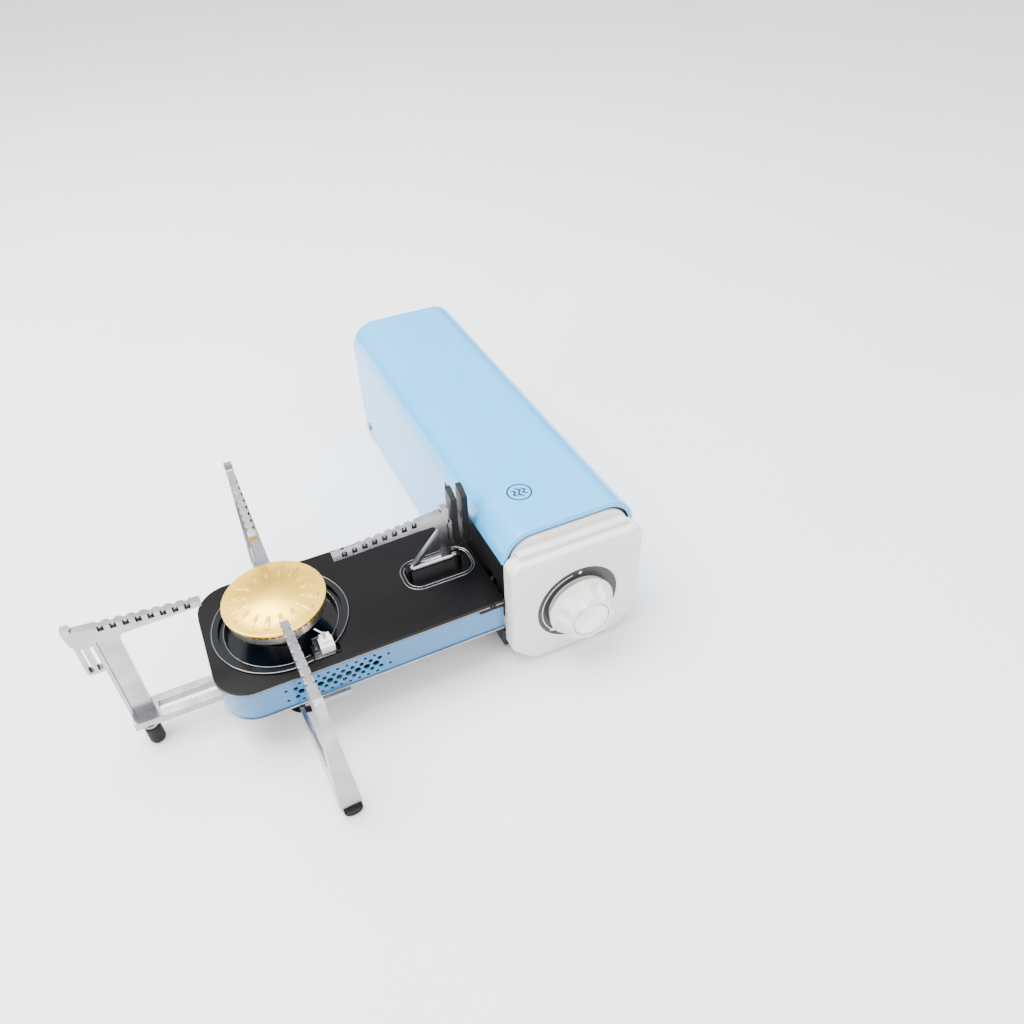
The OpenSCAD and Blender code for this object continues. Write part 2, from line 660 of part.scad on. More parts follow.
// Cast arm with its upright leg and the slotted loop that hangs at its outer end
module left_arm() color("silver") seat() rotate([0, 0, 180]) difference() {
  union() {
    wall_xz(-arm_w / 2, arm_w / 2) arm_profile(leg_u0 - 4, arm_top(leg_u0) - 9);
    wall_xz(-arm_w / 2 + 1, arm_w / 2 - 1) polygon([[leg_u0, frame_z1], [leg_u1 - 1, frame_z1],
      [leg_u1 - 1, arm_top(leg_u1) - 5], [leg_u0 - 6, arm_top(leg_u0) - 8],
      [leg_u0 - 1.6, arm_top(leg_u0) - 10.5],
      [leg_u0, arm_top(leg_u0) - 14]]);
    box(leg_u1 - 2, leg_u1, -arm_w / 2, arm_w / 2, frame_z1, arm_top(leg_u1) - 5);
    wall_xz(-arm_w / 2, arm_w / 2) round_rect(leg_u1 - 1, arm_out, loop_z0, arm_top(leg_u1) - 6, 2.5);
  }
  arm_notches();
  box(leg_u1 + 0.2, leg_u1 + 3, -arm_w, arm_w, loop_z0 + 2, loop_z0 + 20.5);
  box(leg_u1 + 5.2, leg_u1 + 7.4, -arm_w, arm_w, loop_z0 + 2, loop_z0 + 20.5);
}

// Two rails that slide under the burner body, joined by a cross-piece that the leg stands on
module left_rails() color("silver") seat() rotate([0, 0, 180]) union() {
  box(leg_u0 - 2, leg_u1, -rail_out, rail_out, frame_z0, frame_z1);
  for (s = [-1, 1]) translate([0, s * (rail_in + rail_out) / 2, 0])
    box(-rail_end, leg_u0, -(rail_out - rail_in) / 2, (rail_out - rail_in) / 2, frame_z0, frame_z1);
  translate([leg_u0 + 5, 5, frame_z0 - 3]) cylinder(r1 = 4, r2 = 5, h = 3);
}

module left_foot() color("black") seat() translate([-leg_u0 - 5, -5, 0]) union() {
  translate([0, 0, 2]) cylinder(r = 4.6, h = frame_z0 - 5);
  cylinder(r1 = 3.6, r2 = 4.6, h = 2);
}

// Guides under the body that the two rails run in
module rail_guides() color("dimgray") seat()
  for (x = guide_x) difference() {
    box(x - 4, x + 4, -rail_out - 3, rail_out + 3, frame_z0 - 2.5, body_z);
    for (s = [-1, 1]) translate([0, s * (rail_in + rail_out) / 2, 0])
      box(x - 5, x + 5, -(rail_out - rail_in) / 2 - gap, (rail_out - rail_in) / 2 + gap,
        frame_z0 - gap, frame_z1 + gap);
  }

// Pin and broad disc that carry each swinging support under the body
module swing_pins() color("black") seat()
  for (s = [-1, 1]) translate([0, s * swing_y, 0]) {
    translate([0, 0, root_z0 - gap]) cylinder(r = swing_r, h = base_z1 - root_z0 + gap);
    translate([0, 0, root_z0 - gap - 2.6]) cylinder(r1 = swing_disc_r - 1.5, r2 = swing_disc_r, h = 2.6);
  }

module stop_bars() color("silver") seat()
  for (s = [0, 1]) mirror([0, s, 0]) union() {
    box(4.2, 25, -body_w / 2 - 3.4, -body_w / 2 - 0.7, body_z - 4.2, body_z);
    box(12, 25, -body_w / 2 - 3.4, -body_w / 2 + 6, body_z - 4.2, body_z);
  }

// Support that swings about its pin under the body: a bar, a leg that widens to its shoe and a tapered web
module swing_support() {
  top = arm_top(arm_out) - leg_drop;
  difference() {
    union() {
      wall_xz(-arm_w / 2, arm_w / 2) arm_profile(leg_u0 - 4, arm_top(leg_u0) - 9);
      wall_yz(arm_out - leg_t, arm_out) polygon([[-leg_left, shoe_r], [-leg_left, leg_base],
        [-arm_w / 2, top], [-arm_w / 2, top + 2], [arm_w / 2, top + 2], [arm_w / 2, top],
        [leg_right, leg_base], [leg_right, shoe_r]]);
      translate([arm_out, web_in - arm_w / 2, top]) rotate([-web_flare, 0, web_slant])
        translate([-arm_out, 0, -top]) wall_xz(0, web_t) polygon([
          [swing_y + 5, root_z0], [body_w / 2 + 2, root_z0], [arm_out - 7, shoe_r],
          [arm_out - 1, shoe_r], [arm_out - 1, arm_top(arm_out) - 10], [leg_u0, arm_top(leg_u0) - 9],
          [arm_out - 11, arm_top(leg_u0) - 16], [arm_out - 9, root_z1 + 8], [arm_out - 16, root_z1],
          [swing_y + 5, root_z1]]);
      translate([swing_y, 0, root_z0]) cylinder(r = swing_boss_r, h = root_z1 - root_z0);
    }
    arm_notches();
    translate([swing_y, 0, root_z0 - 1]) cylinder(r = swing_r + running, h = 10);
  }
}

// Half-round rubber shoe under a swinging support's leg
module swing_foot() intersection() {
  translate([arm_out - 5.5, shoe_y, shoe_r]) rotate([0, 90, 0]) cylinder(r = shoe_r, h = 7.5);
  box(arm_out - 6, arm_out + 3, shoe_y - 2 * shoe_r, shoe_y + 2 * shoe_r, 0, shoe_r);
}

// The front support stands a little past square, near its stop bar
module lean_front() translate([0, -swing_y, 0]) rotate([0, 0, front_lean]) translate([0, swing_y, 0])
  rotate([0, 0, -90]) children();

module front_support() color("silver") seat() lean_front() swing_support();

module front_foot() color("black") seat() lean_front() swing_foot();

module back_support() color("silver") seat() rotate([0, 0, 90]) mirror([0, 1, 0]) swing_support();

module back_foot() color("black") seat() rotate([0, 0, 90]) mirror([0, 1, 0]) swing_foot();

// Two ears in the deck's recess that hold the right support's pin
module hinge_cheeks() color("#202020") seat()
  for (x = [pocket_x0 + 1, post_u1 + 3]) difference() {
    union() {
      box(x, x + 2.4, -3.5, 3.5, deck_z - pocket_deep, fold_z);
      bar_x(0, fold_z, 3.5, x, x + 2.4);
    }
    bar_x(0, fold_z, fold_r, x - 1, x + 3);
  }

module right_pin() color("silver") seat()
  bar_x(0, fold_z, fold_r, pocket_x0 + 1, post_u1 + 5.4);

// Right support: bar, post, slanted brace and the slotted loop beside the housing
module right_support() color("silver") seat() difference() {
  union() {
    wall_xz(-arm_w / 2, arm_w / 2) arm_profile(post_u0 - 12, arm_top(post_u0) - 8, post_u1);
    wall_xz(-arm_w / 2 + 0.8, arm_w / 2 - 0.8) polygon([[post_u0, fold_z - 2.6], [post_u1, fold_z - 2.6],
      [post_u1, arm_top(post_u1) - 5], [post_u0 - 8, arm_top(post_u0) - 5], [post_u0 - 3, arm_top(post_u0) - 9],
      [post_u0, arm_top(post_u0) - 13]]);
    wall_xz(-arm_w / 2 + 0.8, arm_w / 2 - 0.8) polygon([[pocket_x0 + 5, fold_z + 2.4], [pocket_x0 + 8, fold_z + 2.4],
      [post_u0 + 1, fold_z + 20], [post_u0 + 1, fold_z + 25]]);
    bar_x(0, fold_z, 2.7, pocket_x0 + 4.4, post_u1);
    wall_xz(-arm_w / 2 - 1, arm_w / 2 + 1) round_rect(post_u1 - 1, loop_u1, fold_z + 10, arm_top(post_u1) - 8, 2);
  }
  arm_notches();
  bar_x(0, fold_z, fold_r + running, pocket_x0, post_u1 + 1);
  for (u = stop_u) box(u, u + stop_t, -arm_w, arm_w, fold_z + 12, arm_top(post_u1));
}

// Two black blades that stand in the loop and keep a wide pan off the housing
module pot_stop() color("black") seat()
  for (u = stop_u) wall_yz(u, u + stop_t)
    polygon([[stop_y0, fold_z + 12], [stop_y1, fold_z + 12], [stop_y1, stop_top], [stop_y1 - 3, stop_top],
      [stop_y0, stop_top - 4]]);

chassis();
housing_pads();
shell();
shell_end();
hinge_pins();
end_block();
panel();
dial_ring();
panel_screws();
knob();
knob_cap();
valve_stem();
stem_spring();
valve_body();
gland_nut();
cartridge_collar();
socket_seal();
cartridge_cradles();
push_spring();
piezo();
igniter_lead();
gas_pipe();
jet();
mixing_tube();
body_base();
bridge_bracket();
inner_plate();
skirt();
deck();
deck_screws();
drip_bowl();
burner_head();
burner_cap();
igniter_bracket();
igniter_block();
electrode();
rail_guides();
swing_pins();
stop_bars();
left_arm();
left_rails();
left_foot();
front_support();
front_foot();
back_support();
back_foot();
hinge_cheeks();
right_support();
right_pin();
pot_stop();
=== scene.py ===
import json
import math

import bmesh
import bpy
import numpy as np
from mathutils import Matrix, Vector


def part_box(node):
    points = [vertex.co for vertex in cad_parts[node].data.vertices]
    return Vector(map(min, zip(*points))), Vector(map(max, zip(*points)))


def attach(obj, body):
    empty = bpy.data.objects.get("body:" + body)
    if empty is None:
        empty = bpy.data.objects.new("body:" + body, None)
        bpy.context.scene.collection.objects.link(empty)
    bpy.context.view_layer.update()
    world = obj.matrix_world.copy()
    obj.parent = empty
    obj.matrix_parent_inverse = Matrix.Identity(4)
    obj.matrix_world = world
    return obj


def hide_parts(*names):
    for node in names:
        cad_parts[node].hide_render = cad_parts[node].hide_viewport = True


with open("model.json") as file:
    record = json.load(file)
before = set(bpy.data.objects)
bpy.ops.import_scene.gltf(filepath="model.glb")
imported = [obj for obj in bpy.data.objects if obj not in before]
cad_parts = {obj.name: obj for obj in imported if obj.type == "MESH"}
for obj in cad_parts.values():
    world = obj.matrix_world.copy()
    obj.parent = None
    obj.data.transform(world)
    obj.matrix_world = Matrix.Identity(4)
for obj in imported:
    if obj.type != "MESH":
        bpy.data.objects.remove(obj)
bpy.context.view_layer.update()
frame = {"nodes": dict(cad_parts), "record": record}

headLow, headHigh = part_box("burner_head")
# the burner's axis in mm
burner = np.array([(headLow.x + headHigh.x) / 2, (headLow.y + headHigh.y) / 2, 0]) * 1000


def toRow(points):
    # millimetres from the burner's axis become metres in the frame of the model
    return (np.asarray(points, float) + burner) / 1000


def boxOf(node):
    # a CAD node's corners in millimetres from the burner's axis
    low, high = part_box(node)
    return np.array(low) * 1000 - burner, np.array(high) * 1000 - burner


# camera, light and floor
camera = {"place": (-65.83, -425.03, 417.57), "yaw": 24.72, "pitch": 40.84, "roll": -1.66,
          "lens": 28.56}


def addCamera():
    yaw, pitch, roll = (math.radians(camera[k]) for k in ("yaw", "pitch", "roll"))
    look = Vector((math.sin(yaw) * math.cos(pitch), math.cos(yaw) * math.cos(pitch),
                   -math.sin(pitch)))
    side = Vector((math.cos(yaw), -math.sin(yaw), 0))
    above = side.cross(look)
    camX = side * math.cos(roll) + above * math.sin(roll)
    camY = -side * math.sin(roll) + above * math.cos(roll)
    data = bpy.data.cameras.new("studioCamera")
    data.lens, data.sensor_width = camera["lens"], 36
    data.clip_start, data.clip_end = 0.01, 20
    obj = bpy.data.objects.new("studioCamera", data)
    turn = Matrix((camX, camY, -look)).transposed().to_4x4()
    obj.matrix_world = Matrix.Translation(Vector(camera["place"]) / 1000) @ turn
    bpy.context.scene.collection.objects.link(obj)
    bpy.context.scene.camera = obj


lights = {
    "topSoftbox": {"place": (-0.35, 0.25, 1.5), "aim": (0, 0, 0.05), "size": 1.2, "power": 64},
    "frontSoftbox": {"place": (0.5, -1.3, 0.8), "aim": (0, 0, 0.05), "size": 0.9, "power": 10},
    "leftSoftbox": {"place": (-1.5, -0.3, 0.6), "aim": (0, 0, 0.05), "size": 0.9, "power": 16},
}
# a grey horizon gives bright metal its dark side
world = {"horizon": "#55575a", "overhead": "#ffffff", "strength": 2.0, "from": 0.05, "to": 0.6}


def addLights():
    for name, one in lights.items():
        data = bpy.data.lights.new(name, "AREA")
        data.energy, data.size = one["power"], one["size"]
        obj = bpy.data.objects.new(name, data)
        place, aim = Vector(one["place"]), Vector(one["aim"])
        turn = (aim - place).to_track_quat("-Z", "Y").to_matrix().to_4x4()
        obj.matrix_world = Matrix.Translation(place) @ turn
        bpy.context.scene.collection.objects.link(obj)
    sky = bpy.data.worlds.new("paleStudio")
    sky.use_nodes = True
    back = sky.node_tree.nodes["Background"]
    place = add(sky.node_tree, "ShaderNodeTexCoord").outputs["Generated"]
    part = add(sky.node_tree, "ShaderNodeSeparateXYZ", links={"Vector": place})
    stops = [(world["from"], world["horizon"]), (world["to"], world["overhead"])]
    tone = add(sky.node_tree, "ShaderNodeValToRGB", {"stops": stops}, {"Fac": part.outputs["Z"]})
    sky.node_tree.links.new(tone.outputs["Color"], back.inputs["Color"])
    back.inputs["Strength"].default_value = world["strength"]
    bpy.context.scene.world = sky


# materials
def linear(hexText):
    # sRGB hex to linear RGBA
    c = np.array([int(hexText[i:i + 2], 16) for i in (1, 3, 5)]) / 255
    c = np.where(c <= 0.04045, c / 12.92, ((c + 0.055) / 1.055) ** 2.4)
    return (*c, 1)


def add(tree, kind, settings={}, links={}):
    # one node with its settings (sockets by name or number, else properties) and incoming links
    made = tree.nodes.new(kind)
    for key, value in settings.items():
        if key == "stops":
            ramp = made.color_ramp
            while len(ramp.elements) < len(value):
                ramp.elements.new(0.5)
            for element, (place, colour) in zip(ramp.elements, value):
                element.position, element.color = place, linear(colour)
        elif isinstance(key, int) or key in made.inputs:
            made.inputs[key].default_value = value
        else:
            setattr(made, key, value)
    for key, source in links.items():
        tree.links.new(source, made.inputs[key])
    return made


def startMaterial(name, **sockets):
    # a new material with its shader's own sockets set; also gives the tree, the shader and the
    # Object coordinates
    made = bpy.data.materials.new(name)
    made.use_nodes = True
    tree = made.node_tree
    shader = tree.nodes["Principled BSDF"]
    for key, value in sockets.items():
        shader.inputs[key.replace("_", " ")].default_value = value
    place = add(tree, "ShaderNodeTexCoord").outputs["Object"]
    return made, tree, shader, place


def paintOver(tree, shader, place, low, high, patch, rough, grain, height):
    # colour drifts between two near shades over patches, roughness drifts too, and a fine grain
    # stands up as bump; patch and grain are sizes in mm and height is the grain's height in mm;
    # gives back the tone and the bump
    broad = add(tree, "ShaderNodeTexNoise", {"Scale": 1000 / patch, "Detail": 4, "Roughness": 0.55},
                {"Vector": place})
    tone = add(tree, "ShaderNodeValToRGB", {"stops": [(0.3, low), (0.7, high)]},
               {"Fac": broad.outputs["Fac"]})
    tree.links.new(tone.outputs["Color"], shader.inputs["Base Color"])
    fine = add(tree, "ShaderNodeTexNoise", {"Scale": 1000 / grain, "Detail": 3}, {"Vector": place})
    gloss = add(tree, "ShaderNodeMapRange", {"To Min": rough[0], "To Max": rough[1]},
                {"Value": broad.outputs["Fac"]})
    tree.links.new(gloss.outputs["Result"], shader.inputs["Roughness"])
    bump = add(tree, "ShaderNodeBump", {"Strength": 1, "Distance": height / 1000},
               {"Height": fine.outputs["Fac"]})
    tree.links.new(bump.outputs["Normal"], shader.inputs["Normal"])
    return tone, bump


def sprayedEnamel(name, low, high, rough=(0.16, 0.26)):
    # baked gloss enamel on pressed steel: even colour, a faint orange peel about 2.5 mm across,
    # sharp reflections
    made, tree, shader, place = startMaterial(name, IOR=1.5, Coat_Weight=0.35, Coat_Roughness=0.08)
    paintOver(tree, shader, place, low, high, 90, rough, 2.5, 0.012)
    return made


def satinEnamel(name, low, high, rough=(0.3, 0.42), height=0.02, sheen=0.2, ior=1.5):
    # satin black enamel on steel: broad soft reflections and a fine 0.7 mm texture
    made, tree, shader, place = startMaterial(name, IOR=ior, Specular_IOR_Level=sheen)
    paintOver(tree, shader, place, low, high, 60, rough, 0.7, height)
    return made


def mouldedPlastic(name, low, high, rough=(0.28, 0.38), height=0.008):
    # injection-moulded ABS: clean colour, slight sink-mark drift, soft gloss
    made, tree, shader, place = startMaterial(name, IOR=1.53, Subsurface_Weight=0.03,
                                              Subsurface_Scale=0.002)
    paintOver(tree, shader, place, low, high, 40, rough, 1.0, height)
    return made


def castAluminium(name):
    # die-cast aluminium, tumbled: pale grey metal with faint flow patches about 12 mm and fine
    # pits; painted shade darkens the base colour in the recesses, which draws the notches and
    # slots
    made, tree, shader, place = startMaterial(name, Metallic=1.0)
    tone, bump = paintOver(tree, shader, place, "#98989c", "#b2b2b5", 12, (0.17, 0.3), 1.1, 0.03)
    pits = add(tree, "ShaderNodeTexVoronoi", {"Scale": 1000 / 3.2, "Randomness": 1},
               {"Vector": place})
    deep = add(tree, "ShaderNodeMapRange", {"From Max": 0.22, "To Min": 0, "To Max": 1},
               {"Value": pits.outputs["Distance"]})
    dent = add(tree, "ShaderNodeBump", {"Strength": 0.3, "Distance": 0.00006},
               {"Height": deep.outputs["Result"], "Normal": bump.outputs["Normal"]})
    tree.links.new(dent.outputs["Normal"], shader.inputs["Normal"])
    # painted shade: ambient occlusion finds the recesses and a dark grey is multiplied into the
    # base colour there, standing in for their shade
    recess = add(tree, "ShaderNodeAmbientOcclusion",
                 {"samples": 12, "only_local": True, "Distance": 0.004})
    recessShade = add(tree, "ShaderNodeValToRGB", {"stops": [(0.35, "#3c3c42"), (0.7, "#ffffff")]},
                {"Fac": recess.outputs["AO"]})
    mix = add(tree, "ShaderNodeMixRGB", {"blend_type": "MULTIPLY", "Fac": 1.0},
              {"Color1": tone.outputs["Color"], "Color2": recessShade.outputs["Color"]})
    tree.links.new(mix.outputs["Color"], shader.inputs["Base Color"])
    return made


def brushedSteel(name, low, high, along=(30, 900, 900), rough=(0.2, 0.4)):
    # zinc-plated or stainless sheet, brushed one way: fine streaks drawn about 1 mm apart so
    # that they show
    made, tree, shader, place = startMaterial(name, Metallic=1.0)
    bump = paintOver(tree, shader, place, low, high, 25, rough, 1.2, 0.02)[1]
    stretch = add(tree, "ShaderNodeMapping", {"Scale": along}, {"Vector": place})
    streak = add(tree, "ShaderNodeTexNoise", {"Scale": 1, "Detail": 3},
                 {"Vector": stretch.outputs["Vector"]})
    line = add(tree, "ShaderNodeBump", {"Strength": 0.5, "Distance": 0.00004},
               {"Height": streak.outputs["Fac"], "Normal": bump.outputs["Normal"]})
    tree.links.new(line.outputs["Normal"], shader.inputs["Normal"])
    return made


def turnedMetal(name, low, high, centre, axis, rough, pitch=0.6, height=0.02):
    # metal turned on a lathe: fine rings round the piece's own axis, drawn pitch mm apart
    made, tree, shader, place = startMaterial(name, Metallic=1.0)
    bump = paintOver(tree, shader, place, low, high, 14, rough, 0.9, 0.01)[1]
    flat = {"Z": (1, 1, 0), "Y": (1, 0, 1)}[axis]
    offset = tuple(-np.array(centre) * np.array(flat))
    shift = add(tree, "ShaderNodeMapping", {"Location": offset, "Scale": flat}, {"Vector": place})
    away = add(tree, "ShaderNodeVectorMath", {"operation": "LENGTH"}, {0: shift.outputs["Vector"]})
    ring = add(tree, "ShaderNodeTexNoise",
               {"noise_dimensions": "1D", "Scale": 1000 / pitch, "Detail": 2},
               {"W": away.outputs["Value"]})
    cut = add(tree, "ShaderNodeBump", {"Strength": 0.6, "Distance": height / 1000},
              {"Height": ring.outputs["Fac"], "Normal": bump.outputs["Normal"]})
    tree.links.new(cut.outputs["Normal"], shader.inputs["Normal"])
    return made


burnerAt = tuple(toRow((0, 0, 0)))
capLow, capHigh = boxOf("knob_cap")
knobAt = tuple(toRow((capLow + capHigh) / 2))

finishes = {
    "blue_cover": sprayedEnamel("glossSkyEnamel", "#3aaef2", "#46b5f6"),
    "blue_skirt": sprayedEnamel("glossBlueEnamel", "#1f6a9c", "#2772a4", (0.2, 0.3)),
    "black_enamel": satinEnamel("satinBlackEnamel", "#050506", "#09090b", (0.26, 0.36),
                                0.02, 0.13),
    "dark_enamel": satinEnamel("glassyBowlEnamel", "#020408", "#050b14", (0.08, 0.18),
                               0.006, 0.3),
    "white_plastic": mouldedPlastic("whiteAbs", "#dedcd8", "#e8e6e2"),
    "dial_print": mouldedPlastic("blackDialPrint", "#1c1c1d", "#2a2a2b", (0.4, 0.55)),
    "piezo_plastic": mouldedPlastic("greyNylon", "#b4b4b2", "#c6c6c3", (0.45, 0.6)),
    "bright_steel": brushedSteel("platedSteel", "#949498", "#b0b0b4"),
    "dark_steel": satinEnamel("paintedChassisSteel", "#26272a", "#34363a", (0.4, 0.55)),
    "black_steel": satinEnamel("blackOxideSteel", "#121313", "#1e1f1f", (0.35, 0.5), 0.03),
    "spun_aluminium": turnedMetal("spunAluminium", "#a8a6a2", "#c4c2be", burnerAt, "Z",
                                  (0.22, 0.36)),
    "cast_aluminium": castAluminium("tumbledCastAluminium"),
    "brass_part": turnedMetal("machinedBrass", "#b98f3f", "#d0a958", burnerAt, "Z", (0.3, 0.42)),
    "brass_cap": turnedMetal("pressedBrass", "#f9ca4c", "#ffd75e", burnerAt, "Z", (0.24, 0.34),
                             1.2, 0.012),
    "white_ceramic": mouldedPlastic("glazedCeramic", "#efeeea", "#f8f7f3", (0.12, 0.2)),
    "rubber_black": satinEnamel("mouldedRubber", "#141413", "#22211f", (0.6, 0.78), 0.05),
    "wire_cover": mouldedPlastic("siliconeWireCover", "#151515", "#202020", (0.5, 0.65)),
}
finishes["knobDisc"] = turnedMetal("turnedKnobDisc", "#dcd8d0", "#eeebe4", knobAt, "Y",
                                   (0.2, 0.34), 0.7, 0.02)
# painted highlight: the lips get a lighter grey than the deck's black enamel so that they show as
# bright lines; their higher gloss adds real reflections on top
finishes["lipEdge"] = satinEnamel("lipPaintedHighlightEnamel", "#2c2d30", "#3a3b3f", (0.12, 0.2), 0.004,
                                  1.0, 1.75)
finishes["bracketSteel"] = brushedSteel("dullBracketSteel", "#55565a", "#6c6d71")
finishes["agedBrass"] = brushedSteel("agedPipeBrass", "#241a0c", "#342814", rough=(0.4, 0.6))
finishes["whiteInk"] = mouldedPlastic("whiteDialInk", "#dededc", "#efefed", (0.4, 0.5))
# dark print ink for the heat mark, also used as painted shade for the ring round the knob's disc
finishes["darkInk"] = satinEnamel("darkMarkInkAndGapShade", "#1d262e", "#2b3640", (0.35, 0.45), 0.004)

ownFinish = {"igniter_bracket": "bracketSteel", "gas_pipe": "agedBrass"}
slotOf = {one["node"]: one["material_slot"] for one in frame["record"]["subparts"]}
for nodeName, obj in frame["nodes"].items():
    if not obj.material_slots:
        obj.data.materials.append(None)
    for place in obj.material_slots:
        place.material = finishes[ownFinish.get(nodeName, slotOf[nodeName])]
print("materials done")


# making pieces
hub = 0.02  # radius in mm of the small ring in the middle of a turned shape


def around(count):
    # angles all the way round, without the last one that would repeat the first
    return np.linspace(0, 2 * np.pi, count, endpoint=False)


def gridFaces(rows, cols, wrap):
    # quads between neighbouring points of a rows by cols grid
    r = np.arange(rows - 1)[:, None]
    c = np.arange(cols if wrap else cols - 1)[None, :]
    n = (c + 1) % cols
    quads = np.stack([r * cols + c, r * cols + n, (r + 1) * cols + n, (r + 1) * cols + c], -1)
    return quads.reshape(-1, 4)


def makePiece(name, points, faces, body, slotName, finish=None, replaced=(), sharp=38):
    # points in mm from the burner's axis; faces turned outwards; edges past the angle stay sharp
    mesh = bpy.data.meshes.new(name)
    mesh.from_pydata(toRow(points).tolist(), [], [list(map(int, f)) for f in faces])
    form = bmesh.new()
    form.from_mesh(mesh)
    bmesh.ops.remove_doubles(form, verts=form.verts, dist=1e-7)
    bmesh.ops.recalc_face_normals(form, faces=form.faces)
    form.to_mesh(mesh)
    form.free()
    mesh.shade_smooth()
    mesh.set_sharp_from_angle(angle=math.radians(sharp))
    obj = bpy.data.objects.new(name, mesh)
    bpy.context.scene.collection.objects.link(obj)
    mesh.materials.append(finishes[finish or slotName])
    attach(obj, body)
    if replaced:
        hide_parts(*replaced)
    return obj


def loftRings(rings, closed=False):
    # rings (rows, cols, 3) joined to each other; the two ends are closed by one face each unless
    # the rows close up
    rows, cols = rings.shape[:2]
    if closed:
        rings = np.concatenate([rings, rings[:1]])
        rows += 1
    faces = gridFaces(rows, cols, True).tolist()
    if not closed:
        faces += [list(range(cols))[::-1], list(range((rows - 1) * cols, rows * cols))]
    return rings.reshape(-1, 3), faces


def ringsAlongY(centre, radius, y, angle):
    # rings round an axis that runs front to back; radius is (rows, 1) or (rows, cols), y is (rows)
    radius = radius + 0 * angle
    y = np.broadcast_to(y[:, None], radius.shape)
    return np.stack([centre[0] + radius * np.cos(angle), y, centre[2] + radius * np.sin(angle)], -1)


# angles in degrees: faces nearer to flat than merge become one, edges past bend are rounded and
# edges past sharp stay sharp
soften = {"merge": 1.5, "bend": 32, "sharp": 50, "segments": 2}


def softened(node, body, width):
    # the CAD node's own shape with its sharp edges rounded to width mm, as casting, moulding or
    # pressing leaves them
    copy = frame["nodes"][node].data.copy()
    form = bmesh.new()
    form.from_mesh(copy)
    bmesh.ops.remove_doubles(form, verts=form.verts, dist=2e-6)
    bmesh.ops.dissolve_limit(form, angle_limit=math.radians(soften["merge"]), verts=form.verts,
                             edges=form.edges)
    form.to_mesh(copy)
    form.free()
    copy.name = node + "Soft"
    if "custom_normal" in copy.attributes:
        copy.attributes.remove(copy.attributes["custom_normal"])
    copy.shade_smooth()
    copy.set_sharp_from_angle(angle=math.radians(soften["sharp"]))
    obj = bpy.data.objects.new(copy.name, copy)
    bpy.context.scene.collection.objects.link(obj)
    bevel = obj.modifiers.new("roundEdges", "BEVEL")
    bevel.width, bevel.segments = width / 1000, soften["segments"]
    bevel.limit_method, bevel.angle_limit = "ANGLE", math.radians(soften["bend"])
    bevel.use_clamp_overlap = True
    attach(obj, body)
    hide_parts(node)
    return obj


# brass cap
brassCap = {"petals": 16, "petalIn": 14.5, "petalOut": 25.4, "petalHalf": 0.062, "raise": 0.55,
            "ports": 48, "slotDeep": 3.6, "rim": 1.3, "rimRound": 0.5, "dome": 2.6, "toothIn": 1.2,
            "columns": 960}


def smooth(t):
    t = np.clip(t, 0, 1)
    return t * t * (3 - 2 * t)


def makeBrassCap():
    # rings of radius and height run from the middle of the top over the rim and down the port
    # teeth to the bottom; each petal raises the height inside a narrow tongue that widens
    # outwards and ends in a square step; each port pulls the tooth ring's radius in
    low, high = boxOf("burner_cap")
    radius = (high[0] - low[0]) / 2
    rimTop = high[2] - brassCap["dome"]
    rimLow = rimTop - brassCap["rim"]
    bend = brassCap["rimRound"]
    angle = around(brassCap["columns"])
    r = np.concatenate([np.linspace(hub, 13, 16), np.linspace(13.4, 26.2, 62),
                        np.linspace(26.6, radius - bend, 8)])
    height = rimTop + brassCap["dome"] * (1 - smooth((r - 1) / (radius * 0.84)))
    pitch = 2 * np.pi / brassCap["petals"]
    off = (angle + pitch / 2) % pitch - pitch / 2
    reach = smooth((r - brassCap["petalIn"]) / 7)[:, None]
    reach = reach * (1 - smooth((r - brassCap["petalOut"]) / 0.35))[:, None]
    half = brassCap["petalHalf"] * (0.85 + 0.25 * (r[:, None] - 14) / 12)
    wide = 1 - smooth((np.abs(off)[None, :] - half) / 0.012)
    top = np.stack([r[:, None] * np.cos(angle), r[:, None] * np.sin(angle),
                    height[:, None] + brassCap["raise"] * reach * wide], -1)
    turn = np.linspace(0.15, 1, 6) * np.pi / 2
    # rows from here on: radius, height, share of the slots' depth
    edge = np.stack([radius - bend + bend * np.sin(turn), rimTop - bend + bend * np.cos(turn),
                     0 * turn], -1)
    under = [[radius, rimLow, 0], [radius - 0.4, rimLow - 0.2, 0]]
    tooth = radius - brassCap["toothIn"]
    teeth = [[tooth, rimLow - 0.3, 1], [tooth, low[2] + 0.1, 1], [radius - 1.4, low[2], 1],
             [radius - 5, low[2], 0], [hub, low[2], 0]]
    lower = np.concatenate([edge, under, teeth])
    portPitch = 2 * np.pi / brassCap["ports"]
    slotOff = np.abs((angle + portPitch / 2) % portPitch - portPitch / 2)
    slotIn = 1 - smooth((slotOff - portPitch * 0.27) / (portPitch * 0.05))
    rr = lower[:, 0][:, None] - brassCap["slotDeep"] * lower[:, 2][:, None] * slotIn[None, :]
    z = np.broadcast_to(lower[:, 1][:, None], rr.shape)
    bottom = np.stack([rr * np.cos(angle), rr * np.sin(angle), z], -1)
    points, faces = loftRings(np.concatenate([top, bottom]))
    return makePiece("brassCap", points, faces, "housing", "brass_cap", replaced=["burner_cap"],
                     sharp=50)


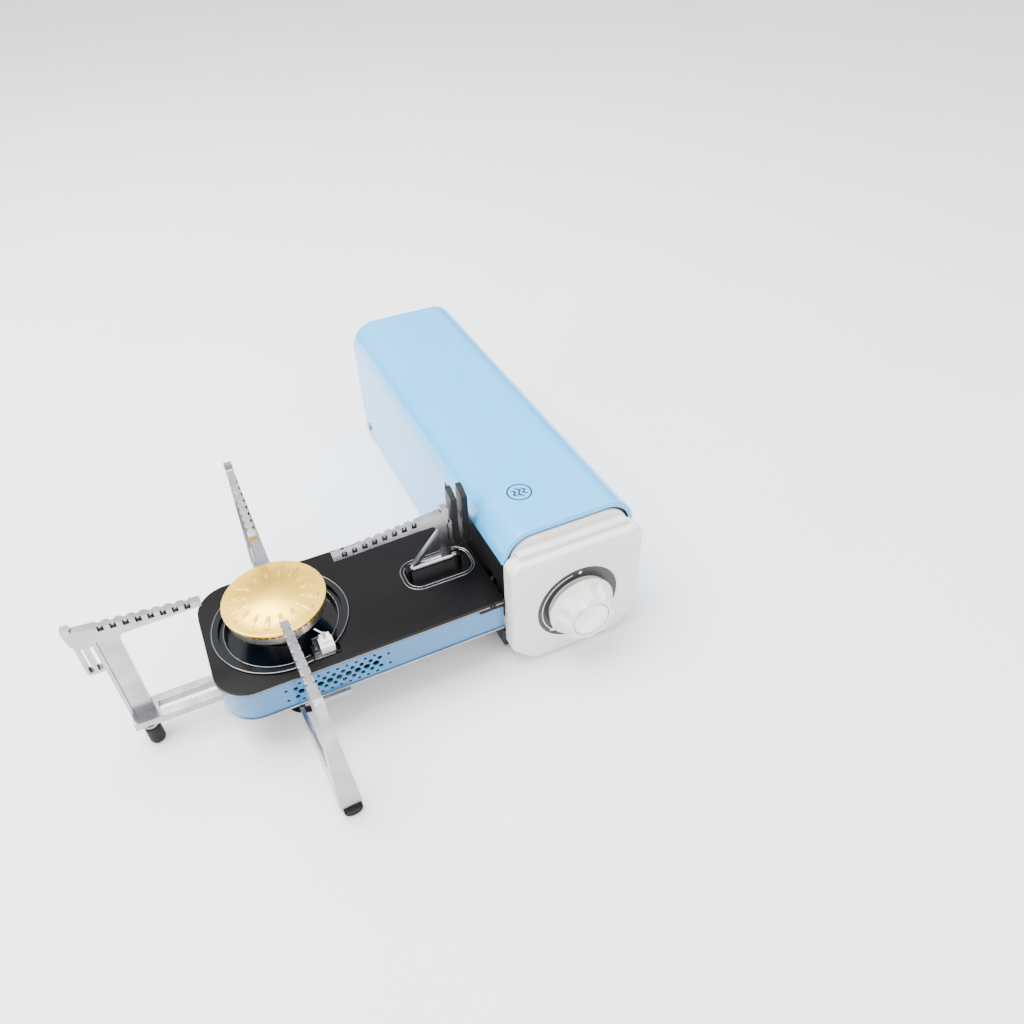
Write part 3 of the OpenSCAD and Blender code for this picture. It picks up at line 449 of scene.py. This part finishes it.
# control knob
knob = {
    "flutes": 8, "deep": 3.8, "columns": 384, "length": 14,
    # distance from the back, how far in from the flange's edge, share of the flutes' depth
    "flank": ((0, 0.8, 0), (0.3, 0.2, 0), (0.8, 0, 0), (1.8, 0, 0), (2.3, 0.3, 0),
              (2.7, 1.1, 0.05), (3.4, 1.6, 0.28), (4.6, 2.0, 0.62), (6, 2.5, 0.86),
              (7.6, 3.1, 0.95), (9.4, 3.7, 0.88), (11, 4.3, 0.75), (12.2, 4.8, 0.62),
              (13.0, 5.3, 0.5), (13.6, 5.9, 0.36), (14, 6.9, 0.12)),
    # distance from the back and radius: the front ring and the recess that takes the disc
    "front": ((14, 13.0), (14, 12.5), (13.8, 12.25), (12.6, 12.2), (12.6, hub)),
}


def makeKnob():
    # the radius falls from flange to front; eight rounded channels cut into it, deepest halfway,
    # gone at the flange
    low, high = boxOf("knob")
    centre = (low + high) / 2
    front, back = low[1], high[1]
    big = (high[0] - low[0]) / 2
    angle = around(knob["columns"])
    body = np.array([(0, hub, 0)] + [(far, big - less, share) for far, less, share in knob["flank"]]
                    + [(far, radius, 0) for far, radius in knob["front"]])
    body[:, 0] *= (back - front) / knob["length"]
    wave = 0.5 + 0.5 * np.cos(knob["flutes"] * (angle + math.pi / 8))
    groove = smooth((wave - 0.3) / 0.6)
    r = body[:, 1][:, None] - knob["deep"] * body[:, 2][:, None] * groove[None, :]
    points, faces = loftRings(ringsAlongY(centre, r, back - body[:, 0], angle))
    return makePiece("controlKnob", points, faces, "knob", "white_plastic", replaced=["knob"],
                     sharp=45)


disc = {
    "columns": 160, "middle": 0.35, "back": 1.2,
    # how far in from the edge, and depth from the front
    "lip": ((2.6, 0.3), (1.9, 0.1), (1.5, 0.0), (0.7, 0.0), (0.3, 0.12), (0.05, 0.4), (0, 1.1)),
    # the outline's section: how far out from the edge, and depth from the front
    "outline": ((-0.1, 0.25), (0.6, 0.25), (0.6, 0.75), (-0.1, 0.75)),
}


def makeKnobDisc():
    # a turned disc: radius and depth run from the hollow middle to a raised lip and rounded edge
    low, high = boxOf("knob_cap")
    big = (high[0] - low[0]) / 2
    rows = np.array([(hub, disc["middle"])] + [(big - less, deep) for less, deep in disc["lip"]]
                    + [(hub, disc["back"])])
    rings = ringsAlongY((low + high) / 2, rows[:, :1], low[1] + rows[:, 1], around(disc["columns"]))
    points, faces = loftRings(rings)
    return makePiece("knobDisc", points, faces, "knob", "spun_aluminium", "knobDisc",
                     ["knob_cap"], 30)


def makeDiscOutline():
    # the shadow gap round the disc as painted shade: a thin dark ring between the disc and the
    # knob's front rim
    low, high = boxOf("knob_cap")
    big = (high[0] - low[0]) / 2
    rows = np.array([(big + more, deep) for more, deep in disc["outline"]])
    rings = ringsAlongY((low + high) / 2, rows[:, :1], low[1] + rows[:, 1], around(disc["columns"]))
    points, faces = loftRings(rings, closed=True)
    return makePiece("discOutline", points, faces, "knob", "dial_print", "darkInk")


# housing cover
cover = {
    "wall": 1.6, "rimWall": 3.2, "rimDeep": 4.2, "rimRound": 1.1, "round": 20, "low": 2,
    "mouthZ": 84, "mouthY": 47.5, "tiltDrop": 12, "tiltZ": 9, "boss": 8, "endLow": 18,
    # the turned rear edge: how far before the rear end, and how far in
    "rearTurn": ((1.2, 0), (0.7, 0.15), (0.3, 0.5), (0, 1.1)),
}
# shares of the arch at which side, corner, top, corner and side meet, and the points along each
archShares = (0, 0.22, 0.36, 0.64, 0.78, 1)
archCounts = (14, 17, 20, 17, 14)


def archPoint(t, x0, x1, z0Left, z0Right, z1, r):
    # a point at share t of the arch: up the left side, round the corner, over the top, round and
    # down the right side; the fixed shares keep the rows lined up from one end of the cover to
    # the other
    x, z = np.zeros(t.shape), np.zeros(t.shape)
    for k, (start, stop) in enumerate(zip(archShares, archShares[1:])):
        here = (t >= start) & (t <= stop)
        s = (t - start) / (stop - start)
        a = s * np.pi / 2
        px = [x0 + 0 * s, x0 + r - r * np.cos(a), x0 + r + (x1 - x0 - 2 * r) * s,
              x1 - r + r * np.sin(a), x1 + 0 * s][k]
        pz = [z0Left + (z1 - r - z0Left) * s, z1 - r + r * np.sin(a), z1 + 0 * s,
              z1 - r + r * np.cos(a), z1 - r - (z1 - r - z0Right) * s][k]
        x, z = np.where(here, px, x), np.where(here, pz, z)
    return x, z


def archSheet(y, outer, inner, left, right, x0, x1, z1, r):
    # the arch section is carried along y; at each place an outer line, moved in by outer, joins an
    # inner line, moved in by inner, at the heights left and right, and one strip of quads closes
    # each end
    stretches = zip(archShares, archShares[1:], archCounts)
    shares = np.concatenate([[0]] + [np.linspace(start, stop, count)[1:]
                                     for start, stop, count in stretches])
    t = np.broadcast_to(shares[None, :], (len(y), len(shares)))
    lines = []
    for moved in (outer[:, None], inner[:, None]):
        x, z = archPoint(t, x0 + moved, x1 - moved, left[:, None], right[:, None], z1 - moved,
                         r - moved)
        lines.append(np.stack([x, np.broadcast_to(y[:, None], x.shape), z], -1))
    loop = np.concatenate([lines[0], lines[1][:, ::-1]], 1)
    rows, cols = loop.shape[:2]
    faces = gridFaces(rows, cols, True).tolist()
    k = np.arange(len(shares) - 1)
    end = np.stack([k, k + 1, cols - 2 - k, cols - 1 - k], -1)
    faces += end.tolist() + (end[:, ::-1] + (rows - 1) * cols).tolist()
    return loop.reshape(-1, 3), faces


def makeCover():
    # the cover's arch: the lower edges follow the mouth on the left and the hinge ears at the
    # rear, the front rim is thicker and rounded, and the rear edge is turned
    low, high = boxOf("shell")
    y0, y1 = low[1], high[1]
    rimEnd, tiltY = y0 + cover["rimDeep"], y1 - cover["tiltDrop"]
    bossEnd = tiltY + cover["boss"]
    turn = np.linspace(0, np.pi / 2, 7)
    inset = cover["rimRound"] * (1 - np.sin(turn))
    rearTurn = np.array(cover["rearTurn"])
    y = np.concatenate([y0 + cover["rimRound"] * (1 - np.cos(turn)), [rimEnd, rimEnd + 0.01],
                        np.linspace(y0 + 8, cover["mouthY"] - 2, 30),
                        cover["mouthY"] + np.array([-0.6, -0.1, 0.1, 0.6]),
                        np.linspace(cover["mouthY"] + 2, tiltY - 0.2, 70),
                        np.linspace(tiltY, bossEnd, 9), [bossEnd + 0.05], y1 - rearTurn[:, 0]])
    outer = np.zeros(len(y))
    outer[:len(turn)] = inset
    outer[-len(rearTurn):] = rearTurn[:, 1]
    wall = np.where(y <= rimEnd, cover["rimWall"], cover["wall"])
    wall[:len(turn)] = cover["rimWall"] - inset * 0.5
    inner = np.maximum(outer * 0.5 + wall, outer + wall * 0.6)
    past = np.clip(y - tiltY, 0, cover["boss"])
    ear = cover["tiltZ"] - np.sqrt(np.maximum(cover["boss"] ** 2 - past ** 2, 0))
    rear = np.where(y < tiltY, cover["low"], np.maximum(cover["low"], ear))
    rear = np.where(y > bossEnd, cover["endLow"], rear)
    left = np.where(y < cover["mouthY"], cover["mouthZ"], rear)
    points, faces = archSheet(y, outer, inner, left, rear, low[0], high[0], high[2],
                              cover["round"])
    return makePiece("coverShell", points, faces, "cover", "blue_cover", replaced=["shell"],
                     sharp=40)


rimGapShade = {"gap": 0.35, "to": 4.75, "front": 0.9, "lead": 0.4, "leadIn": 0.25, "deep": 5,
             "aboveMouth": 0.4, "right": 20}


def makeRimGapShade():
    # painted shade: a black sheet in the gap between the cover's rim and the white block,
    # standing in for the shadow there as a dark line; a narrower arch
    low, high = boxOf("shell")
    y = low[1] + rimGapShade["front"] + np.array([0, rimGapShade["lead"], rimGapShade["deep"]])
    one = np.ones(len(y))
    outer = one * (cover["rimWall"] + rimGapShade["gap"]) + [rimGapShade["leadIn"], 0, 0]
    left = one * (cover["mouthZ"] + rimGapShade["aboveMouth"])
    points, faces = archSheet(y, outer, one * rimGapShade["to"], left, one * rimGapShade["right"],
                              low[0], high[0], high[2], cover["round"])
    return makePiece("rimGapShade", points, faces, "housing", "black_steel")


# front plate
frontPlate = {"round": 7, "cut": 15, "cutRound": 3.5, "edge": 1.9, "hole": 4.0, "setBack": 0.04,
              # the back edge: how far in, and how far before the back
              "backTurn": ((0.6, 0), (0.15, 0.2), (0, 0.7))}


def roundOutline(corners, radii, inset, steps=14):
    # a convex outline whose edges move in by inset, with an arc round each corner that touches
    # both moved edges
    p = np.asarray(corners, float)
    ahead = np.roll(p, -1, 0) - p
    ahead /= np.linalg.norm(ahead, axis=1)[:, None]
    inward = np.stack([-ahead[:, 1], ahead[:, 0]], 1)
    before = np.roll(inward, 1, 0)
    split = (inward + before) / (1 + (inward * before).sum(1))[:, None]
    r = np.maximum(np.asarray(radii, float) - inset, 0.2)
    centre = p + split * (inset + r)[:, None]
    a0 = np.arctan2(-before[:, 1], -before[:, 0])
    sweep = (np.arctan2(-inward[:, 1], -inward[:, 0]) - a0) % (2 * np.pi)
    a = a0[:, None] + sweep[:, None] * np.linspace(0, 1, steps)
    arcs = centre[:, None] + r[:, None, None] * np.stack([np.cos(a), np.sin(a)], -1)
    return arcs.reshape(-1, 2)


def makeFrontPlate():
    # the outline is carried from the back edge over a rounded front edge, across the face to the
    # stem's hole and through it to the back again, so the rows close up
    low, high = boxOf("panel")
    ringLow, ringHigh = boxOf("dial_ring")
    cx, cz = (ringLow[0] + ringHigh[0]) / 2, (ringLow[2] + ringHigh[2]) / 2
    cut, edge, hole = frontPlate["cut"], frontPlate["edge"], frontPlate["hole"]
    front, back = low[1] + frontPlate["setBack"], high[1]
    corners = [(low[0] + cut, low[2]), (high[0] - cut, low[2]), (high[0], low[2] + cut),
               (high[0], high[2]), (low[0], high[2]), (low[0], low[2] + cut)]
    small, large = frontPlate["cutRound"], frontPlate["round"]
    radii = [small, small, small, large, large, small]
    rows = [(inset, back - before) for inset, before in frontPlate["backTurn"]]
    rows += [(edge * (1 - math.cos(a)), front + edge * (1 - math.sin(a)))
             for a in np.linspace(0, np.pi / 2, 7)]
    rings = []
    for inset, y in rows:
        line = roundOutline(corners, radii, inset)
        rings.append(np.stack([line[:, 0], np.full(len(line), y), line[:, 1]], -1))
    angle = np.arctan2(line[:, 1] - cz, line[:, 0] - cx)
    for radius, y in ((ringHigh[0] - cx, front), (hole, front), (hole, back)):
        rings.append(np.stack([cx + radius * np.cos(angle), np.full(len(line), y),
                               cz + radius * np.sin(angle)], -1))
    points, faces = loftRings(np.stack(rings), closed=True)
    return makePiece("frontPlate", points, faces, "housing", "white_plastic",
                     replaced=["panel"], sharp=35)


# pressed lips of the deck and its screws
lips = {
    "rimBead": 0.5, "rimDrop": 2.5, "rimEnd": 0.5, "rimPoints": 260, "bodyRound": 20.2,
    "pocketBead": 0.42, "pocketDrop": 0.08, "pocketRound": 8, "pocket": (79, 121.5, -12, 10),
    "pocketSpread": (0.3, 2.5), "bowlBead": 0.4, "bowlPoints": 200,
    # radius, height from the deck's top, and the angles between which the igniter's bracket
    # leaves a gap
    "bowlSteps": ((33.6, -1.5, -1.0, -1.3), (39.9, 0.95, -0.95, -1.33)),
}


def tubeAlong(path, radius, closed=True, count=10):
    # a round bead carried along a level path: each ring lies across the path's direction
    path = np.asarray(path, float)
    if closed:
        way = np.roll(path, -1, 0) - np.roll(path, 1, 0)
    else:
        way = np.gradient(path, axis=0)
    way /= np.linalg.norm(way, axis=1)[:, None]
    across = np.stack([way[:, 1], -way[:, 0], 0 * way[:, 0]], -1)
    above = np.array([0, 0, 1.0])
    a = around(count)[:, None]
    rings = path[:, None] + radius * (across[:, None] * np.cos(a) + above * np.sin(a))
    return loftRings(rings, closed)


def joinParts(parts):
    # several closed parts as one list of points and faces
    points, faces, count = [], [], 0
    for p, f in parts:
        points.append(p)
        faces += [[i + count for i in face] for face in f]
        count += len(p)
    return np.concatenate(points), faces


def makePressedLips():
    # rolled beads where the sheet is folded: round the deck's rim, round the recess and on the
    # bowl's two steps
    low, high = boxOf("deck")
    top, r, end = high[2], lips["bodyRound"], high[0] - lips["rimEnd"]
    turn = np.linspace(np.pi / 2, np.pi, 16)
    upper = np.stack([low[0] + r + r * np.cos(turn), high[1] - r + r * np.sin(turn)], -1)
    plan = np.concatenate([[[end, high[1]]], upper, upper[::-1] * [1, -1], [[end, low[1]]]])
    steps = np.concatenate([[0], np.cumsum(np.linalg.norm(np.diff(plan, axis=0), axis=1))])
    at = np.linspace(0, steps[-1], lips["rimPoints"])
    line = np.stack([np.interp(at, steps, plan[:, 0]), np.interp(at, steps, plan[:, 1]),
                     np.full(len(at), top - lips["rimDrop"])], -1)
    parts = [tubeAlong(line, lips["rimBead"], closed=False)]
    for spread in lips["pocketSpread"]:
        x0, x1, y0, y1 = np.array(lips["pocket"]) + spread * np.array([-1, 0.6, -1, 1])
        radii = [lips["pocketRound"] + spread] * 4
        ring = roundOutline([(x0, y0), (x1, y0), (x1, y1), (x0, y1)], radii, 0)
        ring = np.column_stack([ring, np.full(len(ring), top - lips["pocketDrop"])])
        parts.append(tubeAlong(ring, lips["pocketBead"]))
    for radius, lift, gapEnd, gapStart in lips["bowlSteps"]:
        a = np.linspace(gapEnd, 2 * np.pi + gapStart, lips["bowlPoints"])
        line = np.stack([radius * np.cos(a), radius * np.sin(a), np.full(len(a), top + lift)], -1)
        parts.append(tubeAlong(line, lips["bowlBead"], closed=False))
    return makePiece("pressedLips", *joinParts(parts), "housing", "black_enamel", "lipEdge")


deckScrew = {"columns": 96, "rings": 22, "high": 1.1, "fall": 0.75, "seat": 1.2, "base": 2.0,
             "crossHalf": 0.28, "crossReach": 0.62, "crossDeep": 0.65}


def makeDeckScrews():
    # a low domed head whose middle drops inside a cross: its height above the seat is a function
    # of radius and angle
    low, high = boxOf("deck_screws")
    cx, cz = (low[0] + high[0]) / 2, (low[2] + high[2]) / 2
    big = (high[0] - low[0]) / 2
    r = np.linspace(hub, big, deckScrew["rings"])[:, None]
    a = around(deckScrew["columns"])
    x, z = r * np.cos(a), r * np.sin(a)
    arm = np.minimum(np.abs(x), np.abs(z))
    cross = 1 - smooth((arm - deckScrew["crossHalf"]) / 0.12)
    cross = cross * (1 - smooth((r - big * deckScrew["crossReach"]) / 0.25))
    height = deckScrew["high"] * (1 - deckScrew["fall"] * (r / big) ** 2.2)
    height = height - deckScrew["crossDeep"] * cross
    parts = []
    for side, face in ((1, high[1]), (-1, low[1])):
        rings = np.stack([cx + x, face - side * (deckScrew["seat"] - height), cz + z], -1)
        base = np.stack([cx + x[-1], np.full(len(a), face - side * deckScrew["base"]),
                         cz + z[-1]], -1)
        parts.append(loftRings(np.concatenate([rings, base[None]])))
    return makePiece("deckScrewHeads", *joinParts(parts), "housing", "black_steel",
                     replaced=["deck_screws"])


# dial marks and the warning mark; angles of the dial in degrees
dial = {"lineRadius": 24.9, "lineHalf": 0.3, "from": 100, "to": 222, "arrow": 9, "arrowHalf": 1.7,
        "dotRadius": 1.15, "dotAt": 88, "ticks": (238, 250, 262), "tickHalf": 0.5,
        "tickReach": 1.3, "thick": 0.06}


def makeDialMarks():
    # thin raised ink: an arc strip, a dot at its top, an arrow head at its lower end and ticks
    low, high = boxOf("dial_ring")
    centre = (low + high) / 2
    front, thick, mid = low[1] - dial["thick"], dial["thick"], dial["lineRadius"]

    def strip(a0, a1, half, count):
        a = np.radians(np.linspace(a0, a1, count))
        inner, outer = np.broadcast_to(mid - half, count), np.broadcast_to(mid + half, count)
        ring = []
        for radius, deep in ((inner, 0), (outer, 0), (outer, thick), (inner, thick)):
            ring.append(np.stack([centre[0] + radius * np.cos(a), np.full(count, front + deep),
                                  centre[2] + radius * np.sin(a)], -1))
        return loftRings(np.stack(ring, 1))

    taper = np.linspace(dial["arrowHalf"], 0.05, 12)
    bulge = dial["dotRadius"] * np.sqrt(np.clip(1 - np.linspace(-1, 1, 25) ** 2, 0.002, 1))
    half = math.degrees(dial["dotRadius"] / mid)
    parts = [strip(dial["from"], dial["to"], dial["lineHalf"], 90),
             strip(dial["to"], dial["to"] + dial["arrow"], taper, len(taper)),
             strip(dial["dotAt"] - half, dial["dotAt"] + half, bulge, len(bulge))]
    for at in dial["ticks"]:
        parts.append(strip(at - dial["tickHalf"], at + dial["tickHalf"], dial["tickReach"], 3))
    return makePiece("dialMarks", *joinParts(parts), "housing", "white_plastic", "whiteInk")


heatMark = {"at": (28.5, 34.5), "radius": 8.0, "ring": 1.0, "thick": 0.05, "columns": 96,
            "waves": (-3.2, 0, 3.2), "waveHalf": 0.75, "waveSwing": 0.9, "wavePoints": 40,
            "waveReach": 4.6, "waveFall": 0.12}


def makeHeatMark():
    # a plain ring with three wavy uprights, as printed on hot surfaces: thin ink strips lying on
    # the cover's top
    low, high = boxOf("shell")
    cx, cy = low[0] + heatMark["at"][0], low[1] + heatMark["at"][1]
    top, thick = high[2], heatMark["thick"]
    a = around(heatMark["columns"])
    outer, inner = heatMark["radius"], heatMark["radius"] - heatMark["ring"]
    ring = []
    for radius, z in ((outer, 0), (outer, thick), (inner, thick), (inner, 0)):
        ring.append(np.stack([cx + radius * np.cos(a), cy + radius * np.sin(a),
                              np.full(len(a), top + z)], -1))
    parts = [loftRings(np.stack(ring), closed=True)]
    s = np.linspace(-1, 1, heatMark["wavePoints"])
    half = heatMark["waveHalf"] * np.sqrt(np.clip(1 - s ** 8, 0.02, 1))
    for x in heatMark["waves"]:
        middle = x + heatMark["waveSwing"] * np.sin(s * np.pi * 1.5)
        reach = heatMark["waveReach"] - heatMark["waveFall"] * x * x
        ring = []
        for side, z in ((-1, 0), (1, 0), (1, thick), (-1, thick)):
            ring.append(np.stack([cx + middle + side * half, cy + s * reach,
                                  np.full(len(s), top + z)], -1))
        parts.append(loftRings(np.stack(ring, 1)))
    return makePiece("heatMark", *joinParts(parts), "cover", "dial_print", "darkInk")


makeBrassCap()
makeKnob()
makeKnobDisc()
makeDiscOutline()
makeCover()
makeRimGapShade()
makeFrontPlate()
makePressedLips()
makeDeckScrews()
makeDialMarks()
makeHeatMark()
print("burner cap, knob and cover done")

# widths in mm of the rounding that each made piece's edges have
edgeRounds = {
    "housing": {"end_block": 1.2, "hinge_pins": 0.3, "deck": 0.6, "igniter_block": 0.6,
                "igniter_bracket": 0.3, "stop_bars": 0.5, "hinge_cheeks": 0.5, "drip_bowl": 0.35,
                "body_base": 0.35},
    "left_support": {"left_arm": 0.45, "left_rails": 0.5, "left_foot": 0.7},
    "front_support": {"front_support": 0.4, "front_foot": 0.8},
    "back_support": {"back_support": 0.4, "back_foot": 0.8},
    "right_support": {"right_support": 0.4, "pot_stop": 0.5},
}
for body, nodes in edgeRounds.items():
    for nodeName, width in nodes.items():
        softened(nodeName, body, width)
print("rounded pieces done")


floor = {"half": 6.0, "low": "#f4f4f4", "high": "#f8f8f8"}


def makeFloor():
    half = floor["half"]
    corners = [(-half, -half, 0), (half, -half, 0), (half, half, 0), (-half, half, 0)]
    mesh = bpy.data.meshes.new("studioFloor")
    mesh.from_pydata(corners, [], [(0, 1, 2, 3)])
    obj = bpy.data.objects.new("studioFloor", mesh)
    bpy.context.scene.collection.objects.link(obj)
    made, tree, shader, place = startMaterial("palePaperFloor", IOR=1.45)
    paintOver(tree, shader, place, floor["low"], floor["high"], 200, (0.7, 0.8), 2.0, 0.01)
    mesh.materials.append(made)


makeFloor()
addCamera()
addLights()
print("scene ready")
